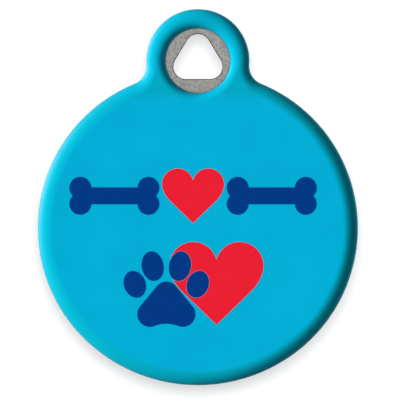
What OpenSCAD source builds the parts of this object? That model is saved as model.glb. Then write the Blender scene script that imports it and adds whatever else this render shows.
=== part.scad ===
// Hanging pet tag: a steel plate inside a two-part moulded coat, with printed figures on its face.
// The ring hole's centre is the origin. +Z points up as the tag hangs, and the face looks along -Y.

/* [Outline] */
// Width of the round body
tag_w = 32; // [30:0.5:40]
// Outer diameter of the loop at the top
loop_d = 10.3; // [10:0.1:12]
// Height of the loop's centre above the top of the round body
loop_stand = 0.7; // [0:0.1:2]
// Radius of the hollow corner between loop and body
neck_r = 1.9; // [1:0.1:3]

/* [Layers] */
// Thickness of the steel plate
core_t = 1.2; // [0.8:0.1:2]
// Thickness of the coat, over the faces and around the edge of the plate
coat_t = 1; // [0.8:0.05:1.2]
// Straight band around the rim, where the two halves of the coat meet
rim_band = 0.4; // [0.2:0.1:1]

/* [Ring hole] */
// Diameter of the round window in the coat, which leaves the steel bare
window_d = 6.5; // [6:0.1:7]
// Width of the rounded triangular hole in the steel
hole_w = 4.9; // [4:0.1:5.2]
// Height of that hole
hole_h = 4.5; // [4:0.1:4.8]
// Distance from the window's centre down to the hole's flat base
hole_drop = 1.83; // [1.6:0.01:2]
// Radius of the hole's three corners
hole_corner_r = 1.25; // [0.8:0.05:1.4]

/* [Keying] */
// Number of holes in the steel through which the halves of the coat meet
key_count = 6; // [3:1:8]
// Diameter of those holes
key_d = 2.5; // [1.5:0.1:4]
// Distance from those holes to the plate's edge
key_edge = 2.75; // [1:0.25:5]
// Clearance between the steel's edges and the coat
core_gap = 0.05; // [0.02:0.01:0.1]

/* [Print] */
// Thickness of the printed layer
print_t = 0.06; // [0.03:0.01:0.15]
// Bare gap kept around a printed figure that lies over another
print_gap = 0.02; // [0.01:0.01:0.1]
// Width of the small heart
small_heart_w = 6.2; // [5:0.1:7]
// Distance that the bones beside it keep from the tag's sides
bone_margin = 3.65; // [2.8:0.05:5]
// Height of the bones over their knobs
bone_h = 3.8; // [3:0.1:4.5]
// Height of a bone's shaft
bone_shaft_h = 1.7; // [1:0.1:2]
// Radius of a bone's knobs
bone_knob_r = 1.1; // [0.9:0.05:1.2]
// Gap between the small heart and each bone
row_gap = 0.25; // [0.1:0.05:0.8]
// Width of the large heart
large_heart_w = 9.4; // [8:0.1:10.5]
// Gap between the paw's pad and the line of the large heart's flank
flank_gap = 0.32; // [0.2:0.01:0.8]
// Distance from the large heart's centre down to the centre of the pad's top curve
pad_drop = 1.03; // [0.5:0.01:2]
// Radius of the pad's top curve
pad_top_r = 1.22; // [1:0.01:1.5]
// Radius of the pad's two lower lobes
pad_lobe_r = 1.26; // [1:0.01:1.5]
// Distance of the lobes' centres from the paw's centre line
pad_lobe_x = 1.65; // [1.3:0.05:2]
// Distance of the lobes' centres below the centre of the top curve
pad_lobe_drop = 2.05; // [1.5:0.05:2.6]
// Depth of the hollow in the pad's lower edge
pad_hollow = 0.31; // [0.1:0.01:0.6]

/* [Hidden] */
$fn = 96;
coat_colour = "#00AFD6";
steel_colour = "#96948F";
red_colour = "#EC2434";
navy_colour = "#013A84";

// Length by which cutting shapes run past what they cut
overrun = 0.5;
// Angle between points on the outline's arcs, and on small printed arcs
arc_step = 5;
print_step = 6;
// Number of flats across the rounded rim
rim_steps = 6;
// Radius of the window's mouth as a share of the coat's thickness, so that it meets the face in a fine edge
mouth_share = 1.02;

half_w = tag_w / 2;
loop_r = loop_d / 2;
loop_rise = half_w + loop_stand;
half_t = core_t / 2 + coat_t;
rim_r = half_t - rim_band / 2;
window_r = window_d / 2;
key_circle_r = half_w - coat_t - key_edge - key_d / 2;
bone_l = half_w - bone_margin - row_gap - small_heart_w / 2;

// The body is a little fuller below than at its sides: share of half its width
side_share = 0.027;
bottom_share = 0.016;
side_x = half_w * side_share;
side_r = half_w - side_x;
bottom_r = half_w * (1 + bottom_share);
loop_c = [0, 0];
side_c = [side_x, -loop_rise];
bottom_c = [0, sqrt(pow(bottom_r - side_r, 2) - side_x * side_x) - loop_rise];

// Places of the two printed groups, from the body's centre, as shares of half its width
row_place_share = [-0.03, 0.2];
pair_place_share = [0.116, -0.346];
body_c = [0, -loop_rise];
row_c = body_c + half_w * row_place_share;
pair_c = body_c + half_w * pair_place_share;

// A heart's proportions, as shares of its width
heart_lobe_share = 0.254;
heart_cheek_share = 0.45;
heart_height_share = 0.88;
// Angle below level at which a lobe runs into the cheek
heart_cheek_angle = 17.5;

// Toes of the paw, from the pad's top centre: across, up, half length, half width, lean
inner_toe = [1.36, 2.75, 1.5, 1.1, 10.8];
outer_toe = [3.14, 0.94, 1.38, 1.09, 21.7];

function direction(a) = [cos(a), sin(a)];
function angle_of(v) = atan2(v.y, v.x);
// Points along an arc, without its last one
function arc(centre, r, from, to, step = arc_step) =
    let (n = ceil(abs(to - from) / step))
    [for (i = [0:n - 1]) centre + r * direction(from + (to - from) * i / n)];
function mirrored(points) = [for (i = [len(points) - 1:-1:0]) [-points[i].x, points[i].y]];
function moved(points, by) = [for (p = points) p + by];
function turned(p, a) = [p.x * cos(a) - p.y * sin(a), p.x * sin(a) + p.y * cos(a)];
// Where circles round a and b cross, on the right of the line from b to a
function crossing(a, ra, b, rb) =
    let (d = norm(b - a), u = (b - a) / d, x = (ra * ra - rb * rb + d * d) / (2 * d))
    a + u * x + [-u.y, u.x] * sqrt(ra * ra - x * x);

// The tag's outline, set in by a given distance, anticlockwise from the left neck
neck_c = crossing(loop_c, loop_r + neck_r, side_c, side_r + neck_r);
neck_at_loop = angle_of(neck_c - loop_c);
neck_at_side = angle_of(neck_c - side_c);
side_at_bottom = angle_of(side_c - bottom_c);
function right_side(inset) = concat(
    arc(side_c, side_r - inset, side_at_bottom, neck_at_side),
    arc(neck_c, neck_r + inset, neck_at_side - 180, neck_at_loop - 180),
    arc(loop_c, loop_r - inset, neck_at_loop, 90)
);
function outline(inset) = concat(
    right_side(inset),
    [loop_c + [0, loop_r - inset]],
    mirrored(right_side(inset)),
    arc(bottom_c, bottom_r - inset, -180 - side_at_bottom, side_at_bottom)
);

function heart_tip(w) = [0, -w * heart_height_share / 2];
function heart_lobe(w) = [w / 2 - w * heart_lobe_share, w * (heart_height_share / 2 - heart_lobe_share)];
function heart_cheek(w) =
    heart_lobe(w) - w * (heart_cheek_share - heart_lobe_share) * direction(-heart_cheek_angle);
// Direction from the cheek's centre to where the straight flank leaves it for the tip
function heart_flank(w) =
    let (to_tip = heart_tip(w) - heart_cheek(w))
    angle_of(to_tip) + acos(w * heart_cheek_share / norm(to_tip));
function heart(w) =
    let (
        r = w * heart_lobe_share,
        lobe_c = heart_lobe(w),
        notch = 180 - acos(lobe_c.x / r),
        side = concat(
            arc(heart_cheek(w), w * heart_cheek_share, heart_flank(w), -heart_cheek_angle, print_step),
            arc(lobe_c, r, -heart_cheek_angle, notch, print_step)
        )
    )
    concat([heart_tip(w)], side, [lobe_c + r * direction(notch)], mirrored(side));

// The paw's pad: a top curve, two lobes, straight flanks and a hollow lower edge
function pad() =
    let (
        lobe_c = [pad_lobe_x, -pad_lobe_drop],
        flank = angle_of(lobe_c) + acos((pad_top_r - pad_lobe_r) / norm(lobe_c)),
        rise = pad_lobe_r - pad_hollow,
        hollow_r = (pow(pad_lobe_x, 2) + rise * rise - pow(pad_lobe_r, 2)) / (2 * (pad_lobe_r - rise)),
        hollow_c = [0, lobe_c.y - rise - hollow_r],
        hollow_end = angle_of(lobe_c - hollow_c),
        side = concat(
            arc(lobe_c, pad_lobe_r, hollow_end - 180, flank, print_step),
            arc([0, 0], pad_top_r, flank, 90, print_step)
        )
    )
    concat(side, [[0, pad_top_r]], mirrored(side), arc(hollow_c, hollow_r, 180 - hollow_end, hollow_end, print_step));

function oval(long, wide, lean) =
    [for (a = [0:print_step:360 - print_step]) turned([wide * cos(a), long * sin(a)], lean)];
// A toe on the left (side -1) or the right (side 1) of the paw, grown by a given distance
function toe(t, side, grown = 0) =
    moved(oval(t[2] + grown, t[3] + grown, -side * t[4]), [side * t[0], t[1]]);
// The pad stands beside the large heart's left flank, clear of it by the gap
flank_a = heart_flank(large_heart_w);
lobe_above_tip = large_heart_w * heart_height_share / 2 - pad_drop - pad_lobe_drop;
paw_offset = pad_lobe_x + (pad_lobe_r + flank_gap - lobe_above_tip * sin(flank_a)) / cos(flank_a);
paw_c = pair_c - [paw_offset, pad_drop];

module upright() {
    rotate([90, 0, 0]) children();
}

// A closed body through rings of points, each as many, from the lowest to the highest
module skin(rings) {
    n = len(rings[0]);
    top = n * (len(rings) - 1);
    polyhedron(
        points = [for (ring = rings) each ring],
        faces = concat(
            [[for (i = [0:n - 1]) i]],
            [for (k = [0:len(rings) - 2], i = [0:n - 1])
                [k * n + i, k * n + n + i, k * n + n + (i + 1) % n]],
            [for (k = [0:len(rings) - 2], i = [0:n - 1])
                [k * n + i, k * n + n + (i + 1) % n, k * n + (i + 1) % n]],
            [[for (i = [n - 1:-1:0]) top + i]]
        )
    );
}

function ring(inset, z) = [for (p = outline(inset)) [p.x, p.y, z]];
// Distance in from the edge, and height, of the quarter-round rim after a number of its flats
function rim(k) = [rim_r * (1 - cos(90 * k / rim_steps)), rim_band / 2 + rim_r * sin(90 * k / rim_steps)];

// One half of the coat before it is hollowed: flat at the parting plane, with a quarter-round rim
module coat_blank() {
    past_face = 2 * rim(rim_steps) - rim(rim_steps - 1);
    intersection() {
        skin(concat(
            [ring(0, -overrun)],
            [for (k = [0:rim_steps - 1]) ring(rim(k)[0], rim(k)[1])],
            [ring(past_face[0], past_face[1])]
        ));
        translate([-tag_w, -2 * tag_w, 0]) cube([2 * tag_w, 3 * tag_w, half_t]);
    }
}

module core_outline(grown = 0) {
    polygon(outline(coat_t - grown));
}

module key_pattern() {
    translate(body_c) for (i = [0:key_count - 1]) rotate(360 * i / key_count)
        translate([key_circle_r, 0]) children();
}

// The window through the coat, with a mouth that rounds over from the steel to the face
module window_cut() {
    mouth_r = coat_t * mouth_share;
    rotate_extrude() difference() {
        translate([0, -overrun]) square([window_r + mouth_r, half_t + 2 * overrun]);
        translate([window_r, -2 * overrun]) square([2 * mouth_r, core_t / 2 + 2 * overrun]);
        translate([window_r + mouth_r, core_t / 2]) circle(r = mouth_r);
    }
}

module half_coat() {
    difference() {
        coat_blank();
        translate([0, 0, -overrun]) linear_extrude(core_t / 2 + overrun) core_outline(core_gap);
        window_cut();
    }
    key_pattern() cylinder(d = key_d - 2 * core_gap, h = core_t / 2 + coat_t / 2);
}

module hole_outline() {
    corner = hole_corner_r;
    top_c = [0, hole_h - hole_drop - corner];
    base_c = [hole_w / 2 - corner, corner - hole_drop];
    flank = angle_of(top_c - base_c) - 90;
    side = concat(
        arc(base_c, corner, -90, flank),
        [base_c + corner * direction(flank)],
        arc(top_c, corner, flank, 90)
    );
    polygon(concat(side, [top_c + [0, corner]], mirrored(side)));
}

module steel_core() {
    color(steel_colour) upright() translate([0, 0, -core_t / 2]) linear_extrude(core_t) difference() {
        core_outline();
        hole_outline();
        key_pattern() circle(d = key_d);
    }
}

module front_shell() {
    color(coat_colour) upright() half_coat();
}

module rear_shell() {
    color(coat_colour) upright() mirror([0, 0, 1]) half_coat();
}

// A printed film on the front face
module film(colour, place) {
    color(colour) upright() translate([place.x, place.y, half_t]) linear_extrude(print_t) children();
}

module bone() {
    knob_x = bone_l / 2 - bone_knob_r;
    knob_y = bone_h / 2 - bone_knob_r;
    square([2 * knob_x, bone_shaft_h], center = true);
    for (x = [-knob_x, knob_x], y = [-knob_y, knob_y]) translate([x, y]) circle(r = bone_knob_r);
}

bone_offset = small_heart_w / 2 + row_gap + bone_l / 2;

module print_small_heart() {
    film(red_colour, row_c) polygon(heart(small_heart_w));
}

module print_bone(side) {
    film(navy_colour, row_c + [side * bone_offset, 0]) bone();
}

module print_large_heart() {
    film(red_colour, pair_c) difference() {
        polygon(heart(large_heart_w));
        for (t = [inner_toe, outer_toe]) polygon(moved(toe(t, 1, print_gap), paw_c - pair_c));
    }
}

module print_paw_pad() {
    film(navy_colour, paw_c) polygon(pad());
}

module print_toe(t, side) {
    film(navy_colour, paw_c) polygon(toe(t, side));
}

steel_core();
front_shell();
rear_shell();
print_small_heart();
print_bone(-1);  // print_left_bone
print_bone(1);  // print_right_bone
print_large_heart();
print_paw_pad();
print_toe(outer_toe, -1);  // print_toe_outer_left
print_toe(inner_toe, -1);  // print_toe_inner_left
print_toe(inner_toe, 1);  // print_toe_inner_right
print_toe(outer_toe, 1);  // print_toe_outer_right
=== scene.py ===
from math import atan2, cos, pi, radians, sin, sqrt

import bmesh
import bpy
from mathutils import Matrix, Vector


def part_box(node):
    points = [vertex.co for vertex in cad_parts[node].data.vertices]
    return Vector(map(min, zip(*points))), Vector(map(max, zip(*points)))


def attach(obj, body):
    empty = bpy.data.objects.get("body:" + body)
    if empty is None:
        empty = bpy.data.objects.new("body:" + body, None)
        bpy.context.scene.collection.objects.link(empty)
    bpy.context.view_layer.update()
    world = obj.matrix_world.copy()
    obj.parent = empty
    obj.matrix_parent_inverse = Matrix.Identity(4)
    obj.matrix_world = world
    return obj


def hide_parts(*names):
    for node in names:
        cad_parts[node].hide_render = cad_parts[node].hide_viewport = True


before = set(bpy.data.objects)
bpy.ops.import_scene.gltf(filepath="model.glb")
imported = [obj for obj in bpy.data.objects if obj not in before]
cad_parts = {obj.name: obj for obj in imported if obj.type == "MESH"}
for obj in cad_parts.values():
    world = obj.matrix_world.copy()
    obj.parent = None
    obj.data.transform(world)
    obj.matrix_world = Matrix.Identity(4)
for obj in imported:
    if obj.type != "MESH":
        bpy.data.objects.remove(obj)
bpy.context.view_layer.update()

mm = 0.001
scene = bpy.context.scene
shellLow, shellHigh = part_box("front_shell")
plateLow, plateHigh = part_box("steel_core")

# Everything is drawn lying down, in millimetres: x right, y up, z out of the front face.
# The last step of each piece stands it up in the frame.
standUp = Matrix.Rotation(pi / 2, 4, "X") @ Matrix.Scale(mm, 4)

tag = {
    "halfWidth": (shellHigh.x - shellLow.x) / 2 / mm,
    "halfThick": -shellLow.y / mm,
    "loopRadius": shellHigh.z / mm,
    "loopRise": 16.7,         # from the middle of the body up to the middle of the loop
    "sideShift": 0.43,        # the side arcs are struck from points this far off the middle
    "bottomFullness": 1.016,  # radius of the bottom arc, over half the width
    "neckRadius": 1.9,
    "step": 0.28,             # spacing of points along the edge
    "fewestSteps": 4,
    "weld": 0.01,             # points closer than this become one
    "windowRadius": 3.25,
    "windowPoints": 144,
    "keyCount": 6,
    "keyRadius": 1.25,
    "keyCircle": 11.0,
    "keyPoints": 40,
}


def along(angle):
    return Vector((cos(angle), sin(angle), 0))


def up(z):
    return Vector((0, 0, z))


def headingOf(v):
    return atan2(v.y, v.x)


def flip(v):
    return Vector((-v.x, v.y, 0))


def crossing(a, ra, b, rb):   # where two circles cross, on the right of the line from b to a
    gap = (b - a).length
    u = (b - a) / gap
    x = (ra * ra - rb * rb + gap * gap) / (2 * gap)
    return a + u * x + Vector((-u.y, u.x, 0)) * sqrt(ra * ra - x * x)


# The centres of the six arcs that make the tag's outline
loopCentre = Vector((0, 0, 0))
bodyCentre = Vector((0, -tag["loopRise"], 0))
sideCentre = bodyCentre + Vector((tag["sideShift"], 0, 0))
sideRadius = tag["halfWidth"] - tag["sideShift"]
bottomRadius = tag["halfWidth"] * tag["bottomFullness"]
bottomLift = sqrt((bottomRadius - sideRadius) ** 2 - tag["sideShift"] ** 2)
bottomCentre = bodyCentre + Vector((0, bottomLift, 0))
neckCentre = crossing(loopCentre, tag["loopRadius"] + tag["neckRadius"],
                      sideCentre, sideRadius + tag["neckRadius"])


# Each arc is a centre, a radius, and its first and last angle, anticlockwise from the lower right
def outlineArcs(inset=0.0):
    neckAtLoop = headingOf(neckCentre - loopCentre)
    neckAtSide = headingOf(neckCentre - sideCentre)
    sideAtBottom = headingOf(sideCentre - bottomCentre)
    side = sideRadius - inset
    neck = tag["neckRadius"] + inset
    return [
        (sideCentre, side, sideAtBottom, neckAtSide),
        (neckCentre, neck, neckAtSide - pi, neckAtLoop - pi),
        (loopCentre, tag["loopRadius"] - inset, neckAtLoop, pi - neckAtLoop),
        (flip(neckCentre), neck, -neckAtLoop, -neckAtSide),
        (flip(sideCentre), side, pi - neckAtSide, pi - sideAtBottom),
        (bottomCentre, bottomRadius - inset, -pi - sideAtBottom, sideAtBottom),
    ]


def vertsOf(made):
    return [g for g in made if isinstance(g, bmesh.types.BMVert)]


def edgesOf(made):
    return [g for g in made if isinstance(g, bmesh.types.BMEdge)]


def newDrawing():             # each point of an outline keeps its place and the way in from it
    bm = bmesh.new()
    bm.verts.layers.float_vector.new("base")
    bm.verts.layers.float_vector.new("inward")
    return bm


def traceArcs(bm, arcs, step, z=0.0):   # a closed line through arcs that touch end to end
    base = bm.verts.layers.float_vector["base"]
    inward = bm.verts.layers.float_vector["inward"]
    done = set(bm.verts)
    doneEdges = set(bm.edges)
    pen = bm.verts.new(arcs[0][0] + arcs[0][1] * along(arcs[0][2]) + up(z))
    drawn = []
    for centre, radius, first, last in arcs:
        middle = centre + up(z)
        turn = last - first
        steps = max(tag["fewestSteps"], round(abs(turn) * radius / step))
        bmesh.ops.spin(bm, geom=[pen], cent=middle, axis=(0, 0, 1), angle=turn, steps=steps)
        fresh = [v for v in bm.verts if v not in done]
        side = 1 if turn > 0 else -1    # a hollow arc runs clockwise, and its centre is outside
        for v in fresh:
            v[base] = v.co
            v[inward] = (middle - v.co).normalized() * side
        done.update(fresh)
        drawn += fresh
        end = middle + radius * along(last)
        pen = min(fresh, key=lambda v: (v.co - end).length)
    bmesh.ops.remove_doubles(bm, verts=drawn, dist=tag["weld"])
    return [e for e in bm.edges if e not in doneEdges]


def ringOf(bm, centre, radius, points, z):
    place = Matrix.Translation(centre + up(z))
    doneEdges = set(bm.edges)
    bmesh.ops.create_circle(bm, segments=points, radius=radius, matrix=place)
    return [e for e in bm.edges if e not in doneEdges]


def keyRings(bm, radius, z):  # the places where the halves of the coat meet through the plate
    rings = []
    for k in range(tag["keyCount"]):
        centre = bodyCentre + tag["keyCircle"] * along(2 * pi * k / tag["keyCount"])
        rings.append(ringOf(bm, centre, radius, tag["keyPoints"], z))
    return rings


def nextRow(bm, row, place):  # one more row of faces along a line of edges
    grown = bmesh.ops.extrude_edge_only(bm, edges=row)["geom"]
    verts = set(vertsOf(grown))
    for v in verts:
        v.co = place(v)
    return [e for e in edgesOf(grown) if set(e.verts) <= verts]


def sortFaces(bm):            # rows of faces are filled in an order that varies from run to run
    bm.verts.index_update()
    count = len(bm.verts)

    def rank(f):              # three corners tell a face from every other
        low, middle, high = sorted(v.index for v in f.verts)[:3]
        return (low * count + middle) * count + high

    bm.faces.sort(key=rank)


def finishPiece(bm, name, finishes, replaced, sharp):
    sortFaces(bm)
    bmesh.ops.transform(bm, matrix=standUp, verts=bm.verts)
    bmesh.ops.recalc_face_normals(bm, faces=bm.faces)
    for f in bm.faces:
        f.smooth = True
    mesh = bpy.data.meshes.new(name)
    bm.to_mesh(mesh)
    bm.free()
    mesh.set_sharp_from_angle(angle=radians(sharp))
    for finish in finishes:
        mesh.materials.append(finish)
    piece = bpy.data.objects.new(name, mesh)
    scene.collection.objects.link(piece)
    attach(piece, "root")
    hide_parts(replaced)
    print(name, len(mesh.vertices), "points", len(mesh.polygons), "faces")


# Finishes

class Signal:                 # one output of a node, which Python's own sums can use
    def __init__(self, finish, socket):
        self.finish = finish
        self.socket = socket

    def __add__(self, other):
        return self.finish.sums("ADD", self, other)

    def __radd__(self, other):
        return self.finish.sums("ADD", other, self)

    def __sub__(self, other):
        return self.finish.sums("SUBTRACT", self, other)

    def __rsub__(self, other):
        return self.finish.sums("SUBTRACT", other, self)

    def __mul__(self, other):
        return self.finish.sums("MULTIPLY", self, other)

    def __rmul__(self, other):
        return self.finish.sums("MULTIPLY", other, self)


class Finish:                 # a material, or the world, drawn as nodes
    def __init__(self, owner):
        owner.use_nodes = True
        self.owner = owner
        self.tree = owner.node_tree
        self.tree.nodes.clear()

    def node(self, kind, settings=None, inputs=None, out=0):
        made = self.tree.nodes.new(kind)
        for key, value in (settings or {}).items():
            setattr(made, key, value)
        for key, value in (inputs or {}).items():
            if isinstance(value, Signal):
                self.tree.links.new(value.socket, made.inputs[key])
            else:
                made.inputs[key].default_value = value
        if made.outputs:
            return Signal(self, made.outputs[out])

    def sums(self, operation, a, b):
        return self.node("ShaderNodeMath", {"operation": operation}, {0: a, 1: b})

    def vector(self, operation, a, b, out=0):
        return self.node("ShaderNodeVectorMath", {"operation": operation}, {0: a, 1: b}, out)

    def place(self):
        return self.node("ShaderNodeTexCoord", out="Object")

    def flat(self):           # the place in the plane of the tag, in millimetres
        return self.vector("MULTIPLY", self.place(), (1 / mm, 0, 1 / mm))

    def folded(self):         # the same, with the left side of the body laid over its right side
        return self.vector("MULTIPLY", self.vector("ABSOLUTE", self.flat(), (0, 0, 0)), (1, 0, -1))

    def gap(self, spot, x, z):
        return self.vector("DISTANCE", spot, (x, 0, z), "Value")

    def upright(self):        # height in millimetres
        return self.node("ShaderNodeSeparateXYZ", {}, {0: self.place()}, "Z") * (1 / mm)

    def rays(self, kind):
        return self.node("ShaderNodeLightPath", out=kind)

    def seen(self):           # rays that show a thing itself, and not the light that it throws
        return (self.rays("Is Camera Ray") + self.rays("Is Glossy Ray")
                + self.rays("Is Transmission Ray"))

    def noise(self, scale, detail, roughness):
        inputs = {"Vector": self.place(), "Scale": scale, "Detail": detail, "Roughness": roughness}
        return self.node("ShaderNodeTexNoise", {}, inputs)

    # Stretches the values between low and high to a new range, and clamps the rest
    def spread(self, value, low, high, newLow=0.0, newHigh=1.0, ease="LINEAR"):
        inputs = {0: value, 1: low, 2: high, 3: newLow, 4: newHigh}
        return self.node("ShaderNodeMapRange", {"interpolation_type": ease}, inputs)

    def blend(self, share, a, b):
        return self.node("ShaderNodeMix", {"data_type": "RGBA"}, {0: share, 6: a, 7: b}, 2)

    def tint(self, colour, share):
        inputs = {0: colour, "Scale": share}
        return self.node("ShaderNodeVectorMath", {"operation": "SCALE"}, inputs)

    def bump(self, height, depth):
        inputs = {"Height": height, "Distance": depth, "Strength": 1.0}
        return self.node("ShaderNodeBump", {}, inputs)

    def surface(self, **inputs):
        named = {key.replace("_", " "): value for key, value in inputs.items()}
        return self.node("ShaderNodeBsdfPrincipled", {}, named)

    def show(self, shader):
        forWorld = isinstance(self.owner, bpy.types.World)
        kind = "ShaderNodeOutputWorld" if forWorld else "ShaderNodeOutputMaterial"
        self.node(kind, {}, {"Surface": shader})
        return self.owner


def newFinish(name):
    return Finish(bpy.data.materials.new(name))


midNoise = (0.35, 0.65)       # most of a noise lies between these

# In the finishes, each noise is a scale per metre, its detail and its roughness
coatFinish = {
    "colour": (0.0012, 0.429, 0.672, 1),
    "deeper": (0.0008, 0.408, 0.650, 1),
    "cloud": (260, 3.0, 0.55),
    "cloudRange": (0.35, 0.70),        # the stretch of the cloud over which the colour deepens
    "grain": (5200, 4.0, 0.6),
    "grainShare": 0.6,        # how much of the roughness follows the grain, and not the cloud
    "grainDepth": 0.004 * mm,
    "roughness": (0.40, 0.48),
    "specular": 0.03,
    "edgeShadeTone": (1, 0.89, 0.76),       # painted shade: the rounded edges are made a little darker and greener
    "edgeShadeInsets": (1.55, 0.83),        # how far in from the edge that starts, and where it is full
    "loopShadeShare": 0.75,        # how much of that painted shade the loop takes
    "loopHeights": (-4.2, -2.8),       # the heights where the loop's share starts and is full
}


def satinRubber():
    f = newFinish("satin_rubber")
    cloud = f.noise(*coatFinish["cloud"])
    grain = f.noise(*coatFinish["grain"])
    inSide = sideRadius - f.gap(f.folded(), sideCentre.x, sideCentre.y)
    inBottom = bottomRadius - f.gap(f.flat(), bottomCentre.x, bottomCentre.y)
    inset = f.sums("MINIMUM", inSide, inBottom)
    # painted shade: a mask over the rounded rim and the loop, where the colour is darkened
    onRim = f.spread(inset, *coatFinish["edgeShadeInsets"], ease="SMOOTHSTEP")
    onLoop = f.spread(f.upright(), *coatFinish["loopHeights"], ease="SMOOTHSTEP")
    edge = onRim + onLoop * (coatFinish["loopShadeShare"] - onRim)
    deepening = f.spread(cloud, *coatFinish["cloudRange"])
    face = f.blend(deepening, coatFinish["colour"], coatFinish["deeper"])
    shadedEdges = f.vector("MULTIPLY", face, coatFinish["edgeShadeTone"])
    mixed = grain * coatFinish["grainShare"] + cloud * (1 - coatFinish["grainShare"])
    return f.show(f.surface(
        Base_Color=f.blend(edge, face, shadedEdges),
        Roughness=f.spread(mixed, *midNoise, *coatFinish["roughness"]),
        Normal=f.bump(grain, coatFinish["grainDepth"]),
        Specular_IOR_Level=coatFinish["specular"]))


inkFinish = {
    "red": (0.845, 0.0150, 0.0330, 1),
    "navy": (0.0008, 0.0410, 0.2310, 1),
    "thinInk": 0.93,          # how much of its colour a thinner patch of ink keeps
    "mottle": (2600, 3.0, 0.6),
    "mottleRange": (0.40, 0.70),
    "grain": (7000, 2.0, 0.5),
    "grainDepth": 0.002 * mm,
    "roughness": (0.38, 0.50),
    "specular": 0.03,
}


def printedInk(name, colour):
    f = newFinish(name)
    mottle = f.noise(*inkFinish["mottle"])
    grain = f.noise(*inkFinish["grain"])
    thin = tuple(c * inkFinish["thinInk"] for c in colour[:3]) + (1,)
    return f.show(f.surface(
        Base_Color=f.blend(f.spread(mottle, *inkFinish["mottleRange"]), colour, thin),
        Roughness=f.spread(mottle, *midNoise, *inkFinish["roughness"]),
        Normal=f.bump(grain, inkFinish["grainDepth"]),
        Specular_IOR_Level=inkFinish["specular"]))


steelFinish = {
    "dark": (0.220, 0.216, 0.205, 1),
    "light": (0.440, 0.431, 0.413, 1),
    "speck": (5600, 3.0, 0.65),
    "speckRange": (0.36, 0.64),
    "speckShare": 0.8,        # how much of the colour follows the specks, and not the cloud
    "cloud": (900, 2.0, 0.5),
    "roughness": (0.36, 0.50),
    "pitDepth": 0.006 * mm,
    "seamShadeTone": 0.35,         # painted shade: a dark line where the coat meets the steel
    "seamWidth": 0.10,
    "seamWaver": 0.06,
    "wallTones": ((0.130, 0.126, 0.118, 1), (0.270, 0.263, 0.250, 1)),
    "wallRoughness": 0.5,
    # painted shade: the hole's bevelled edge is made dark, and rough so it shows no highlight
    "edgeTones": ((0.065, 0.062, 0.058, 1), (0.180, 0.174, 0.166, 1)),
    "edgeRoughness": 0.8,
}


def blastedSteel():
    f = newFinish("blasted_steel")
    speck = f.noise(*steelFinish["speck"])
    cloud = f.noise(*steelFinish["cloud"])
    mixed = speck * steelFinish["speckShare"] + cloud * (1 - steelFinish["speckShare"])
    share = f.spread(mixed, *steelFinish["speckRange"])
    bare = f.blend(share, steelFinish["dark"], steelFinish["light"])
    # painted shade: the steel darkens in a thin wavering ring along the window's edge
    waver = (speck - 0.5) * steelFinish["seamWaver"]
    toSeam = tag["windowRadius"] - f.gap(f.flat(), 0, 0) + waver
    seam = f.spread(toSeam, steelFinish["seamWidth"], 0)
    return f.show(f.surface(
        Base_Color=f.blend(seam, bare, f.tint(bare, steelFinish["seamShadeTone"])),
        Roughness=f.spread(speck, *midNoise, *steelFinish["roughness"]),
        Normal=f.bump(speck, steelFinish["pitDepth"]),
        Metallic=1.0))


def cutSteel(name, part):     # for the hole's wall, and its edge, whose darker colour is painted shade
    f = newFinish(name)
    speck = f.noise(*steelFinish["speck"])
    share = f.spread(speck, *steelFinish["speckRange"])
    return f.show(f.surface(
        Base_Color=f.blend(share, *steelFinish[part + "Tones"]),
        Roughness=steelFinish[part + "Roughness"],
        Normal=f.bump(speck, steelFinish["pitDepth"]),
        Metallic=1.0))


rubber = satinRubber()
redInk = printedInk("red_ink", inkFinish["red"])
navyInk = printedInk("navy_ink", inkFinish["navy"])
steel = blastedSteel()
holeWall = cutSteel("sheared_steel", "wall")
holeEdgeShade = cutSteel("hole_edge_shade", "edge")
print("finishes ready")


# The coat, two halves that meet at mid-thickness

coat = {
    "rimRadius": 1.42,        # rounding of the body's edge
    "loopEdge": 1.0,          # rounding of the loop's outer edge
    "mouthRadius": 0.86,      # rounding of the window's mouth
    "blendFrom": -3.6,        # height where the body's rounding starts to turn into the loop's
    "blendTo": -0.2,
    "rimRows": 12,
    "mouthRows": 10,
    "groove": 0.05,           # half width, and depth, of the line where the halves meet
    "support": 0.01,          # a narrow row that keeps the flat face flat
    "pocketInset": 0.95,
    "bossGap": 0.05,
    "sharp": 35,              # degrees past which an edge shows as a crease
}


def smoothStep(low, high, x):
    t = min(1, max(0, (x - low) / (high - low)))
    return t * t * (3 - 2 * t)


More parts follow.
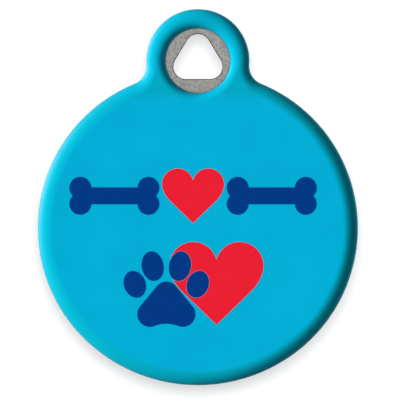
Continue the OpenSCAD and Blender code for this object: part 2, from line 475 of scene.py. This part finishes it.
def buildCoatHalf(name, replaced, mirrored):
    bm = newDrawing()
    base = bm.verts.layers.float_vector["base"]
    inward = bm.verts.layers.float_vector["inward"]
    top = tag["halfThick"]
    floor = plateHigh.y / mm

    def rimRadius(v):
        share = smoothStep(coat["blendFrom"], coat["blendTo"], v[base].y)
        return coat["rimRadius"] + share * (coat["loopEdge"] - coat["rimRadius"])

    def at(inset, z):         # places a row at a distance in from the edge
        return lambda v: v[base] + v[inward] * inset + up(z)

    def onRim(angle, past=0.0):
        def place(v):
            r = rimRadius(v)
            return at(r * (1 - cos(angle)) + past, top - r + r * sin(angle))(v)
        return place

    seam = traceArcs(bm, outlineArcs(), tag["step"])
    for v in {v for e in seam for v in e.verts}:
        v.co = at(coat["groove"], 0)(v)
    row = nextRow(bm, seam, at(0, coat["groove"]))
    for k in range(coat["rimRows"] + 1):
        row = nextRow(bm, row, onRim(pi / 2 * k / coat["rimRows"]))
    faceEdge = nextRow(bm, row, onRim(pi / 2, coat["support"]))

    # The window, from the steel up over its rounded mouth
    mouth = coat["mouthRadius"]

    def onMouth(angle, past=0.0):
        reach = tag["windowRadius"] + mouth * (1 - cos(angle)) + past
        height = top - mouth + mouth * sin(angle)
        return lambda v: Vector((v.co.x, v.co.y, 0)).normalized() * reach + up(height)

    window = ringOf(bm, loopCentre, tag["windowRadius"], tag["windowPoints"], floor)
    row = window
    for k in range(coat["mouthRows"] + 1):
        row = nextRow(bm, row, onMouth(pi / 2 * k / coat["mouthRows"]))
    mouthEdge = nextRow(bm, row, onMouth(pi / 2, coat["support"]))
    bmesh.ops.triangle_fill(bm, edges=faceEdge + mouthEdge, use_beauty=True, normal=(0, 0, 1))

    # The pocket for the plate, its roof, and the bosses that reach through the plate
    rim = nextRow(bm, seam, at(coat["pocketInset"], 0))
    roof = window + nextRow(bm, rim, at(coat["pocketInset"], floor))
    bosses = keyRings(bm, tag["keyRadius"] - coat["bossGap"], floor)
    bmesh.ops.triangle_fill(bm, edges=sum(bosses, roof), use_beauty=True, normal=(0, 0, -1))
    for boss in bosses:
        foot = nextRow(bm, boss, lambda v: Vector((v.co.x, v.co.y, 0)))
        bmesh.ops.edgeloop_fill(bm, edges=foot)

    if mirrored:
        bmesh.ops.scale(bm, vec=(1, 1, -1), verts=bm.verts)
    finishPiece(bm, name, [rubber], replaced, coat["sharp"])


buildCoatHalf("front_coat", "front_shell", False)
buildCoatHalf("rear_coat", "rear_shell", True)


# The steel plate

plate = {
    "inset": 1.0,             # its edge lies this far inside the coat's
    "step": 0.35,
    "holeWidth": 4.9,
    "holeHeight": 4.5,
    "holeDrop": 1.83,         # from the window's middle down to the hole's flat base
    "holeCorner": 1.25,
    "holeStep": 0.10,
    "edgeRound": 0.08,
    "edgeRows": 3,
    "flatFrom": 0.98,         # a face whose normal rises or falls this much is front or back
    "wallUpTo": 0.1,          # and one whose normal does so no more than this is the hole's wall
    "sharp": 30,
}


def holeArcs():               # the rounded triangle, anticlockwise from the right end of its base
    r = plate["holeCorner"]
    apex = Vector((0, plate["holeHeight"] - plate["holeDrop"] - r, 0))
    right = Vector((plate["holeWidth"] / 2 - r, r - plate["holeDrop"], 0))
    flank = headingOf(apex - right) - pi / 2
    return [
        (right, r, -pi / 2, flank),
        (apex, r, flank, pi - flank),
        (flip(right), r, pi - flank, 3 * pi / 2),
    ]


def traceHole(bm, z):         # corner arcs, then straight sides between them
    doneEdges = set(bm.edges)
    ends = []
    for centre, radius, first, last in holeArcs():
        middle = centre + up(z)
        turn = last - first
        start = bm.verts.new(middle + radius * along(first))
        steps = round(turn * radius / plate["holeStep"])
        spun = bmesh.ops.spin(bm, geom=[start], cent=middle, axis=(0, 0, 1),
                              angle=turn, steps=steps)["geom_last"]
        ends.append((start, vertsOf(spun)[0]))
    for k in range(len(ends)):
        bmesh.ops.contextual_create(bm, geom=[ends[k][1], ends[(k + 1) % len(ends)][0]])
    return [e for e in bm.edges if e not in doneEdges]


def buildPlate():
    bm = newDrawing()
    low = plateLow.y / mm
    thick = (plateHigh.y - plateLow.y) / mm
    outline = traceArcs(bm, outlineArcs(plate["inset"]), plate["step"], low)
    lines = sum(keyRings(bm, tag["keyRadius"], low), outline + traceHole(bm, low))
    bmesh.ops.triangle_fill(bm, edges=lines, use_beauty=True, normal=(0, 0, -1))
    raised = bmesh.ops.extrude_face_region(bm, geom=list(bm.faces))["geom"]
    bmesh.ops.translate(bm, vec=(0, 0, thick), verts=vertsOf(raised))
    bmesh.ops.recalc_face_normals(bm, faces=bm.faces)

    def inHole(part):
        return all(v.co.to_2d().length < tag["windowRadius"] for v in part.verts)

    def isLevel(e):
        return abs(e.verts[0].co.z - e.verts[1].co.z) < thick / 2

    def isWall(f):
        return abs(f.normal.z) < plate["wallUpTo"]

    def isFlat(f):
        return abs(f.normal.z) >= plate["flatFrom"]

    lips = [e for e in bm.edges
            if inHole(e) and isLevel(e) and any(isWall(f) for f in e.link_faces)]
    bmesh.ops.bevel(bm, geom=lips, offset=plate["edgeRound"], offset_type="OFFSET",
                    segments=plate["edgeRows"], profile=0.5, affect="EDGES", material=-1)
    bmesh.ops.recalc_face_normals(bm, faces=bm.faces)
    finishes = [steel, holeWall, holeEdgeShade]
    for f in bm.faces:
        if inHole(f) and not isFlat(f):
            f.material_index = finishes.index(holeWall if isWall(f) else holeEdgeShade)
    finishPiece(bm, "steel_plate", finishes, "steel_core", plate["sharp"])


buildPlate()


# The print, which keeps its own nodes

inks = {
    "print_small_heart": redInk,
    "print_large_heart": redInk,
    "print_left_bone": navyInk,
    "print_right_bone": navyInk,
    "print_paw_pad": navyInk,
    "print_toe_outer_left": navyInk,
    "print_toe_inner_left": navyInk,
    "print_toe_inner_right": navyInk,
    "print_toe_outer_right": navyInk,
}
for name, ink in inks.items():
    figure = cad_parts[name]
    figure.visible_shadow = False         # ink is too thin to throw one
    for materialSlot in figure.material_slots:
        materialSlot.material = ink
print("print finished")


# Camera, light and surroundings

view = {
    "distance": 1000 * mm,
    "frameWidth": 39.97 * mm,     # what the square picture spans at the tag
    "aimX": 0.210 * mm,
    "aimZ": -13.915 * mm,
    "sensorWidth": 36,
    "nearest": 0.01,
    "furthest": 10,
}
cameraData = bpy.data.cameras.new("camera")
cameraData.sensor_width = view["sensorWidth"]
cameraData.lens = cameraData.sensor_width * view["distance"] / view["frameWidth"]
cameraData.clip_start = view["nearest"]
cameraData.clip_end = view["furthest"]
camera = bpy.data.objects.new("camera", cameraData)
camera.location = (view["aimX"], -view["distance"], view["aimZ"])
camera.rotation_euler = (pi / 2, 0, 0)
scene.collection.objects.link(camera)
scene.camera = camera

light = {
    "keyTowards": (-0.853, -0.500, 0.150),
    "keyLevel": 1.62,             # what it adds to a white card that faces it
    "keySoftness": 30,
    "ambient": 0.19,
    "rearTowards": (0.50, 0.86, 0.12),
    "rearLevel": 0.92,
    "rearSoftness": 30,
    "edgeTowards": (-0.87, 0.42, 0.25),    # a strip behind the left side, seen in the gloss alone
    "edgeLevel": 2.0,
    "edgeSoftness": 40,
    "cardPower": 24.4,            # a lamp beside the camera that lights the card alone
    "cardRise": 14 * mm,
    "cardRadius": 14.5 * mm,
    "floorTowards": (-0.30, -0.35, 0.88),    # and one that lights the floor alone
    "floorLevel": 0.66,
    "floorSoftness": 26,
}


def addLamp(name, kind, energy):
    lamp = bpy.data.objects.new(name, bpy.data.lights.new(name, kind))
    lamp.data.energy = energy
    scene.collection.objects.link(lamp)
    return lamp


def addSun(name):
    sun = addLamp(name + "_light", "SUN", light[name + "Level"] * pi)
    sun.data.angle = radians(light[name + "Softness"])
    sun.rotation_euler = Vector(light[name + "Towards"]).to_track_quat("Z", "Y").to_euler()
    return sun


for name in ("key", "rear"):      # these two shape the coat, and draw no lines on its edges
    addSun(name).visible_glossy = False
addSun("edge").visible_diffuse = False
floorLight = addSun("floor")
cardLight = addLamp("card_light", "POINT", light["cardPower"])
cardLight.data.shadow_soft_size = light["cardRadius"]
cardLight.location = camera.location + up(light["cardRise"])

world = Finish(bpy.data.worlds.new("studio"))
scene.world = world.owner
strength = light["ambient"] + world.sums("MINIMUM", world.seen(), 1) * (1 - light["ambient"])
world.show(world.node("ShaderNodeBackground", {}, {"Color": (1, 1, 1, 1), "Strength": strength}))

stage = {
    "cardBehind": 60 * mm,
    "cardHalf": 220 * mm,
    "floorHeight": -35.2 * mm,
    "floorHalf": 700 * mm,
    "tone": (0.6, 0.6, 0.6, 1),
    "roughness": 0.9,
    "cardGlow": 0.09,
    "floorGlow": 0.36,
}


def paleFinish(name, glow):   # it throws no soft light back on the tag, and isn't there from behind
    f = newFinish(name)
    white = f.surface(
        Base_Color=stage["tone"], Roughness=stage["roughness"], Specular_IOR_Level=0.0,
        Emission_Color=(1, 1, 1, 1), Emission_Strength=glow)
    fromFront = f.seen() * (1 - f.node("ShaderNodeNewGeometry", out="Backfacing"))
    clear = f.node("ShaderNodeBsdfTransparent")
    return f.show(f.node("ShaderNodeMixShader", {}, {0: fromFront, 1: clear, 2: white}))


def stagePlane(name, place, lamp):
    bm = bmesh.new()
    bmesh.ops.create_grid(bm, x_segments=1, y_segments=1, size=stage[name + "Half"], matrix=place)
    mesh = bpy.data.meshes.new(name)
    bm.to_mesh(mesh)
    bm.free()
    mesh.materials.append(paleFinish(name + "_white", stage[name + "Glow"]))
    plane = bpy.data.objects.new(name, mesh)
    scene.collection.objects.link(plane)
    lit = bpy.data.collections.new(name + "_only")
    lit.objects.link(plane)
    lamp.light_linking.receiver_collection = lit


onEnd = Matrix.Rotation(pi / 2, 4, "X")
cardHeight = stage["floorHeight"] + stage["cardHalf"]
cardPlace = Matrix.Translation((0, stage["cardBehind"], cardHeight)) @ onEnd
floorPlace = Matrix.Translation((0, 0, stage["floorHeight"]))
stagePlane("card", cardPlace, cardLight)
stagePlane("floor", floorPlace, floorLight)

scene.view_settings.view_transform = "Standard"
print("stage ready")
